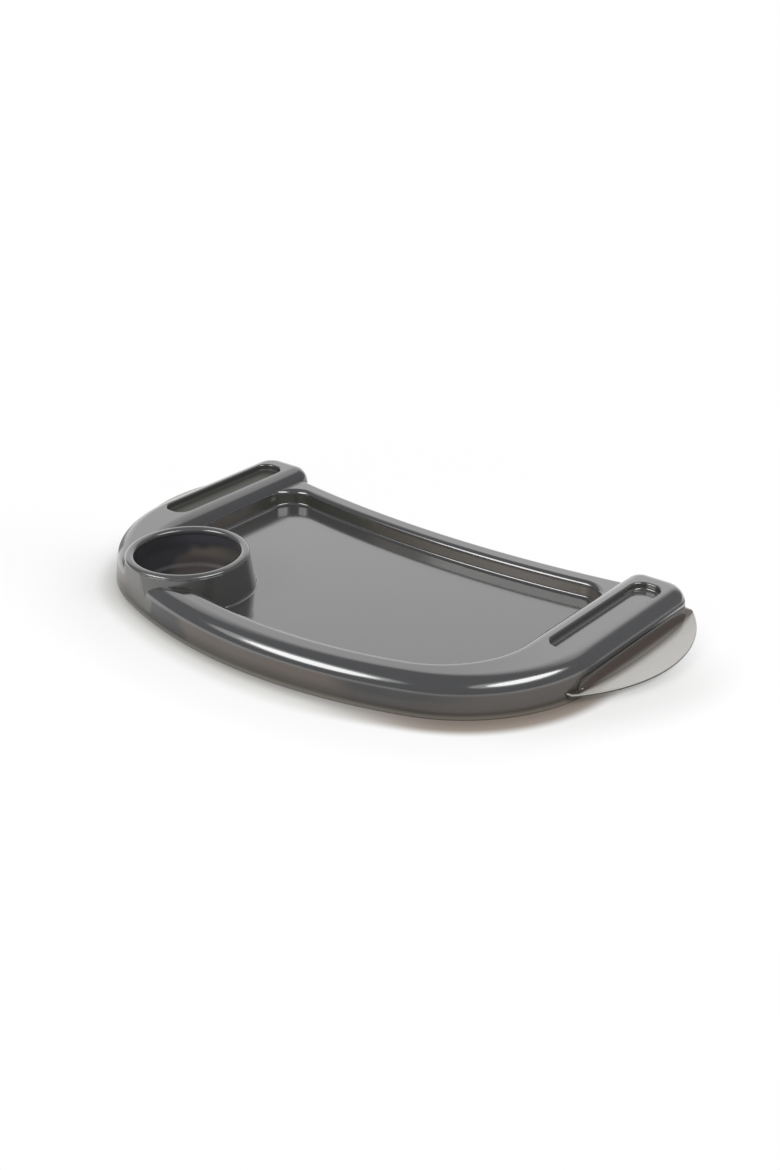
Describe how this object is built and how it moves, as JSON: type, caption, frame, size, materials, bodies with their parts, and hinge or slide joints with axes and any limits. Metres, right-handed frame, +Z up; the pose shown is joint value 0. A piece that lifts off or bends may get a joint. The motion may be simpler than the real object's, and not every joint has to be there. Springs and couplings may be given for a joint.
{
  "type": "high chair tray",
  "caption": "Moulded high chair tray with a deep basin, raised pocketed side ribs, a lift-out cup liner and spring-returned pull-out release wings over arm-bar guides.",
  "frame": {"origin": "middle of the footprint, on the table that the skirt stands on", "axes": "+X to the tray's right as the child's side is at the back, +Y towards the child, +Z up"},
  "size_m": [0.458, 0.252, 0.0336],
  "materials": {
    "smoke_plastic": "high gloss smoke-tinted moulding",
    "liner_plastic": "high gloss smoke-tinted moulding",
    "wing_plastic": "thin clear smoke plastic",
    "guide_nylon": "fine matte nylon",
    "spring_steel": "plain spring wire",
    "screw_steel": "zinc plated",
    "pad_rubber": "matte soft rubber"
  },
  "bodies": {
    "tray": {"tray_shell": "smoke_plastic", "left_arm_guide": "guide_nylon", "right_arm_guide": "guide_nylon", "left_front_spring": "spring_steel", "left_rear_spring": "spring_steel", "right_front_spring": "spring_steel", "right_rear_spring": "spring_steel", "left_front_pad": "pad_rubber", "left_rear_pad": "pad_rubber", "right_front_pad": "pad_rubber", "right_rear_pad": "pad_rubber", "left_front_guide_screw": "screw_steel", "left_front_wing_screw": "screw_steel", "left_rear_wing_screw": "screw_steel", "left_rear_guide_screw": "screw_steel", "right_front_guide_screw": "screw_steel", "right_front_wing_screw": "screw_steel", "right_rear_wing_screw": "screw_steel", "right_rear_guide_screw": "screw_steel"},
    "left_wing": {"left_release_wing": "wing_plastic"},
    "right_wing": {"right_release_wing": "wing_plastic"},
    "cup": {"cup_liner": "liner_plastic"}
  },
  "joints": [
    {"name": "left_wing_slide", "type": "slide", "parent": "tray", "child": "left_wing", "axis": [-1, 0, 0], "range_m": [0, 0.005], "stiffness_N_per_m": 600, "springref_m": -0.004, "deforming": ["left_front_spring", "left_rear_spring"]},
    {"name": "right_wing_slide", "type": "slide", "parent": "tray", "child": "right_wing", "axis": [1, 0, 0], "range_m": [0, 0.005], "stiffness_N_per_m": 600, "springref_m": -0.004, "deforming": ["right_front_spring", "right_rear_spring"]},
    {"name": "cup_liner_lift", "type": "slide", "parent": "tray", "child": "cup", "axis": [0, 0, 1], "range_m": [0, 0.06]}
  ]
}
